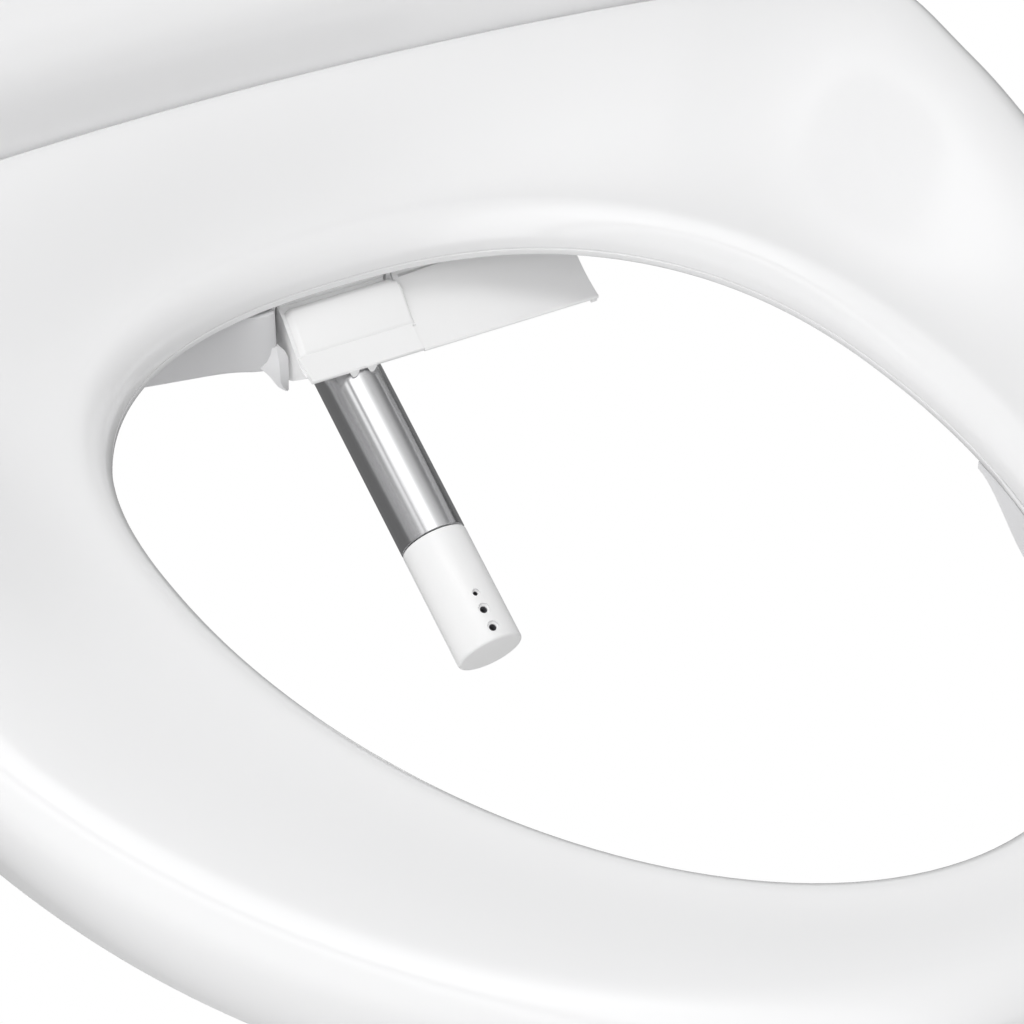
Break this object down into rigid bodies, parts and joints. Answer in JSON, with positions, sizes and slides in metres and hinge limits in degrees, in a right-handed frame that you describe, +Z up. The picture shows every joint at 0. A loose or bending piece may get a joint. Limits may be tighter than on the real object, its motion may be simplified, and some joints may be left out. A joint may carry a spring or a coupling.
{
  "type": "electric bidet seat",
  "caption": "Electric bidet seat: a heated ring seat and a lid hinged on a rear housing, with a sliding steel spray nozzle under a flap and its belt drive, heater and blower inside.",
  "frame": {"origin": "centre of the mounting plate underside, midway between the two mounting bolts, on the plane of the bowl rim", "axes": "+Z up, +Y to the rear, +X to the right seen from the front"},
  "size_m": [0.4144, 0.6269, 0.655],
  "materials": {
    "gloss_white": "gloss white moulded plastic",
    "satin_white": "satin white moulded plastic",
    "grey_plastic": "fine matt grey plastic",
    "black_plastic": "matt black plastic",
    "black_rubber": "black toothed belt rubber",
    "circuit_board": "green solder mask",
    "foil": "amber polyimide heater film",
    "steel": "polished stainless steel",
    "rubber": "light grey soft rubber",
    "charcoal": "black carbon foam",
    "lens": "translucent light window"
  },
  "bodies": {
    "base": {"seat_hinge_pin_left": "steel", "seat_hinge_pin_right": "steel", "housing_cover": "gloss_white", "base_chassis": "satin_white", "mounting_plate": "steel", "mounting_bolt_left": "steel", "mounting_bolt_right": "steel", "bolt_bush_left": "rubber", "bolt_bush_right": "rubber", "bolt_nut_left": "grey_plastic", "bolt_nut_right": "grey_plastic", "front_foot_left": "rubber", "front_foot_right": "rubber", "nozzle_guide": "satin_white", "drive_belt": "black_rubber", "nozzle_motor": "steel", "splash_apron": "gloss_white", "nozzle_shroud": "satin_white", "flap_pin": "steel", "flap_bearing_left": "satin_white", "flap_bearing_right": "satin_white", "water_heater_tank": "grey_plastic", "solenoid_valve": "black_plastic", "water_pump": "steel", "control_board": "circuit_board", "power_supply": "black_plastic", "blower_casing": "black_plastic", "lid_damper_left": "grey_plastic", "lid_damper_right": "grey_plastic", "seat_damper_left": "grey_plastic", "seat_damper_right": "grey_plastic", "water_inlet": "steel", "power_gland": "black_plastic", "indicator_window": "lens"},
    "seat": {"seat_upper_shell": "gloss_white", "seat_lower_shell": "satin_white", "splash_guard_skirt": "satin_white", "seat_heater_foil": "foil", "seat_bumper_front_left": "rubber", "seat_bumper_front_right": "rubber", "seat_bumper_rear_left": "rubber", "seat_bumper_rear_right": "rubber"},
    "lid": {"lid_shell": "gloss_white", "lid_bumper_left": "rubber", "lid_bumper_right": "rubber", "lid_hinge_pin_left": "steel", "lid_hinge_pin_right": "steel"},
    "nozzle": {"nozzle_tip": "gloss_white", "nozzle_tube": "steel", "nozzle_carriage": "grey_plastic"},
    "flap": {"nozzle_flap": "gloss_white"},
    "drive_pulley": {"drive_pulley": "gloss_white"},
    "idler_pulley": {"idler_pulley": "gloss_white"},
    "blower_wheel": {"blower_impeller": "gloss_white"},
    "key_1": {"side_key_1": "grey_plastic"},
    "key_2": {"side_key_2": "grey_plastic"},
    "key_3": {"side_key_3": "grey_plastic"},
    "release": {"release_button": "grey_plastic"},
    "filter_drawer": {"deodorizer_cartridge": "gloss_white", "carbon_filter": "charcoal"}
  },
  "joints": [
    {"name": "seat_hinge", "type": "hinge", "parent": "base", "child": "seat", "pos_m": [0, -0.082, 0.074], "axis": [1, 0, 0], "range_deg": [-93, 0]},
    {"name": "lid_hinge", "type": "hinge", "parent": "base", "child": "lid", "pos_m": [0, 0.052, 0.086], "axis": [1, 0, 0], "range_deg": [0, 105]},
    {"name": "nozzle_slide", "type": "slide", "parent": "base", "child": "nozzle", "axis": [0, -0.8652, -0.5015], "range_m": [-0.088, 0]},
    {"name": "flap_hinge", "type": "hinge", "parent": "base", "child": "flap", "pos_m": [0, -0.1265, 0.0245], "axis": [1, 0, 0], "range_deg": [-12, 0]},
    {"name": "drive_pulley_spin", "type": "hinge", "parent": "base", "child": "drive_pulley", "pos_m": [0, -0.01802, 0.04033], "axis": [1, 0, 0], "range_deg": [-901, 0]},
    {"name": "idler_pulley_spin", "type": "hinge", "parent": "base", "child": "idler_pulley", "pos_m": [0, -0.10107, -0.00782], "axis": [1, 0, 0], "range_deg": [-901, 0]},
    {"name": "blower_spin", "type": "hinge", "parent": "base", "child": "blower_wheel", "pos_m": [-0.088, 0.026, 0.0133], "axis": [0, 0, 1], "continuous": true},
    {"name": "key_1_press", "type": "slide", "parent": "base", "child": "key_1", "axis": [-1, 0, 0], "range_m": [0, 0.0012], "stiffness_N_per_m": 400, "springref_m": -0.0005},
    {"name": "key_2_press", "type": "slide", "parent": "base", "child": "key_2", "axis": [-1, 0, 0], "range_m": [0, 0.0012], "stiffness_N_per_m": 400, "springref_m": -0.0005},
    {"name": "key_3_press", "type": "slide", "parent": "base", "child": "key_3", "axis": [-1, 0, 0], "range_m": [0, 0.0012], "stiffness_N_per_m": 400, "springref_m": -0.0005},
    {"name": "release_press", "type": "slide", "parent": "base", "child": "release", "axis": [1, 0, 0], "range_m": [0, 0.0018], "stiffness_N_per_m": 600, "springref_m": -0.0005},
    {"name": "filter_drawer_slide", "type": "slide", "parent": "base", "child": "filter_drawer", "axis": [-1, 0, 0], "range_m": [0, 0.055]}
  ],
  "couplings": [
    {"joint": "drive_pulley_spin", "follows": "nozzle_slide", "rad_per_m": 178.57},
    {"joint": "idler_pulley_spin", "follows": "nozzle_slide", "rad_per_m": 178.57}
  ]
}
